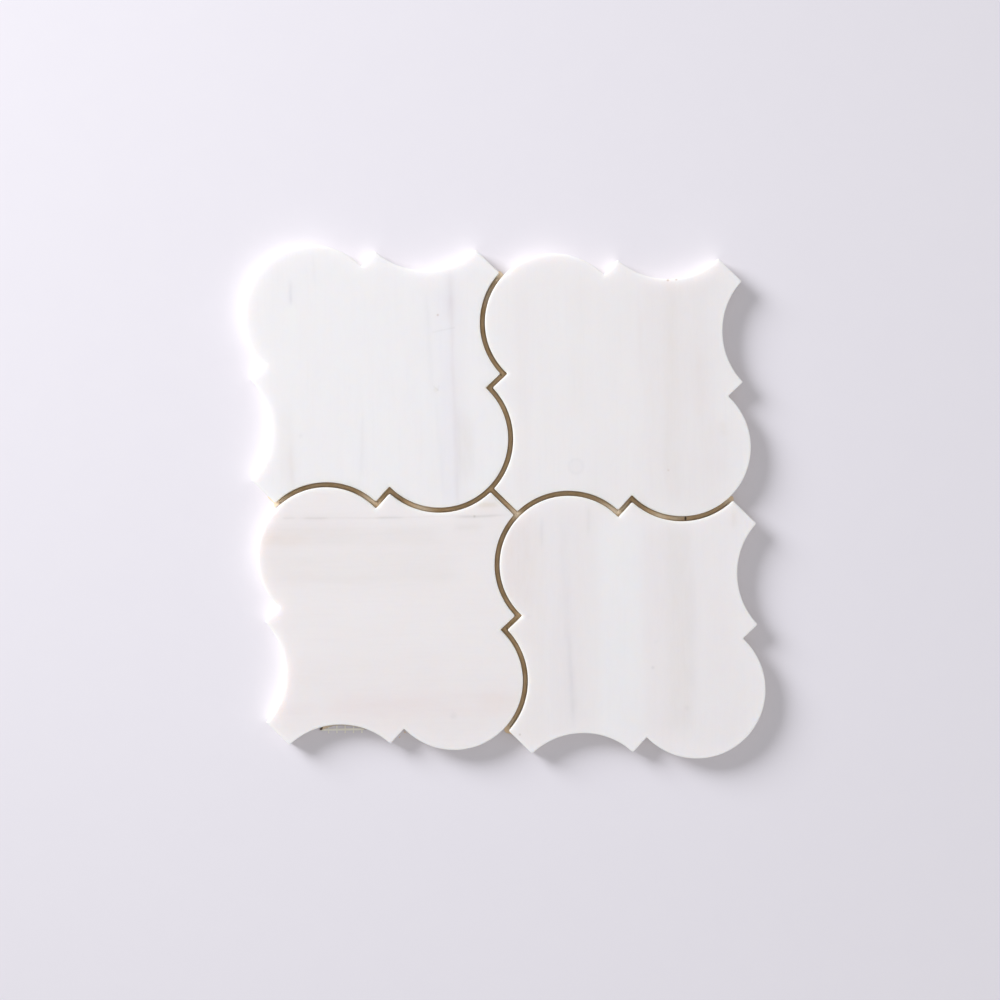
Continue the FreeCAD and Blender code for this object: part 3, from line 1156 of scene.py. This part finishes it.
# drops of adhesive beyond the tiles' edge: x, y and size
DROPS = [(-111.9, -135.4, 1.5), (-61.3, -138.0, 0.9), (-64.6, -140.9, 0.7), (-84.0, -133.0, 0.7)]
drop_places = [(x, y) for x, y, _ in DROPS]
drop_points = start_mesh("drop_places", drop_places, [], size=[size for _, _, size in DROPS])
drops = drop_maker().make("adhesive_drops", drop_points, {
    "Height": 0.5 * MM, "Flatness": 0.5, "Roughness": 0.25, "Seed": 31.0, "Finish": glue,
})

for piece in [warp, weft, joints, rim, drops] + bed_pieces:
    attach(piece, "root")
    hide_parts("mesh_backing")
    shade(piece, SHARP_NET)


# Floor, light and camera

CAMERA_HEIGHT = 1600.0
VIEW_WIDTH = 598.1  # what the picture is wide, at the height of the tiles' faces
CAMERA_ROLL = -0.73
AIM = (-2.33, 1.05)  # the picture's middle, from the sheet's middle
SENSOR = 36.0
FLOOR_REACH = 6  # metres from the middle

floor_mesh = bpy.data.meshes.new("floor")
corners = [(x * FLOOR_REACH, y * FLOOR_REACH, 0) for x, y in ((-1, -1), (1, -1), (1, 1), (-1, 1))]
floor_mesh.from_pydata(corners, [], [(0, 1, 2, 3)])
floor_mesh.materials.append(backdrop())
floor = bpy.data.objects.new("floor", floor_mesh)
bpy.context.scene.collection.objects.link(floor)

FILL = 0.482  # the room's own light
FILL_COLOUR = (1.0, 0.982, 0.945, 1)
REFLECTED = 0.6  # the room, where it is seen or shows in the polish
REFLECTED_COLOUR = (0.93, 0.92, 0.96, 1)


def lamp(name, azimuth, elevation, distance, size, spread, power):
    """A round lamp that faces the sheet, seen from its middle at those angles and that many metres away."""
    data = bpy.data.lights.new(name, "AREA")
    data.shape = "DISK"
    data.size = size
    data.spread = math.radians(spread)
    data.energy = power
    made = bpy.data.objects.new(name, data)
    round_z, up = math.radians(azimuth), math.radians(elevation)
    towards = Vector((math.cos(up) * math.cos(round_z), math.cos(up) * math.sin(round_z), math.sin(up)))
    made.location = towards * distance
    made.rotation_euler = towards.to_track_quat("Z", "Y").to_euler()
    bpy.context.scene.collection.objects.link(made)


# the key lamp has a grid in front of it that narrows its light, and a pale card stands opposite
lamp("key", azimuth=144.4, elevation=25.85, distance=2.9, size=1.5, spread=70.0, power=16.05)
lamp("card", azimuth=-38.0, elevation=12.0, distance=4.0, size=3.0, spread=180.0, power=22.0)

world = bpy.data.worlds.new("studio")
world.use_nodes = True
bpy.context.scene.world = world
sky = Tree(world.node_tree)
rays = sky.tree.nodes.new("ShaderNodeLightPath")
seen = Value(sky, rays.outputs["Is Camera Ray"])
for label in ("Is Glossy Ray", "Is Transmission Ray"):
    seen = sky.math("MAXIMUM", seen, Value(sky, rays.outputs[label]))
background = sky.tree.nodes.new("ShaderNodeBackground")
sky.feed(background.inputs["Color"], sky.blend(seen, FILL_COLOUR, REFLECTED_COLOUR))
sky.feed(background.inputs["Strength"], sky.blend_numbers(seen, FILL, REFLECTED))
world_end = sky.tree.nodes.new("ShaderNodeOutputWorld")
sky.tree.links.new(background.outputs[0], world_end.inputs["Surface"])

camera_data = bpy.data.cameras.new("camera")
camera_data.sensor_width = SENSOR
camera_data.sensor_fit = "HORIZONTAL"
camera_data.lens = SENSOR * (CAMERA_HEIGHT - FACE_HEIGHT) / VIEW_WIDTH
camera_data.clip_start = 0.05
camera_data.clip_end = 50.0
camera = bpy.data.objects.new("camera", camera_data)
roll = math.radians(CAMERA_ROLL)
aim = Vector(AIM)
aim.rotate(Matrix.Rotation(roll, 2))
camera.location = (aim.x * MM, aim.y * MM, CAMERA_HEIGHT * MM)
camera.rotation_euler = (0, 0, roll)
bpy.context.scene.collection.objects.link(camera)
bpy.context.scene.camera = camera
bpy.context.scene.view_settings.view_transform = "Standard"
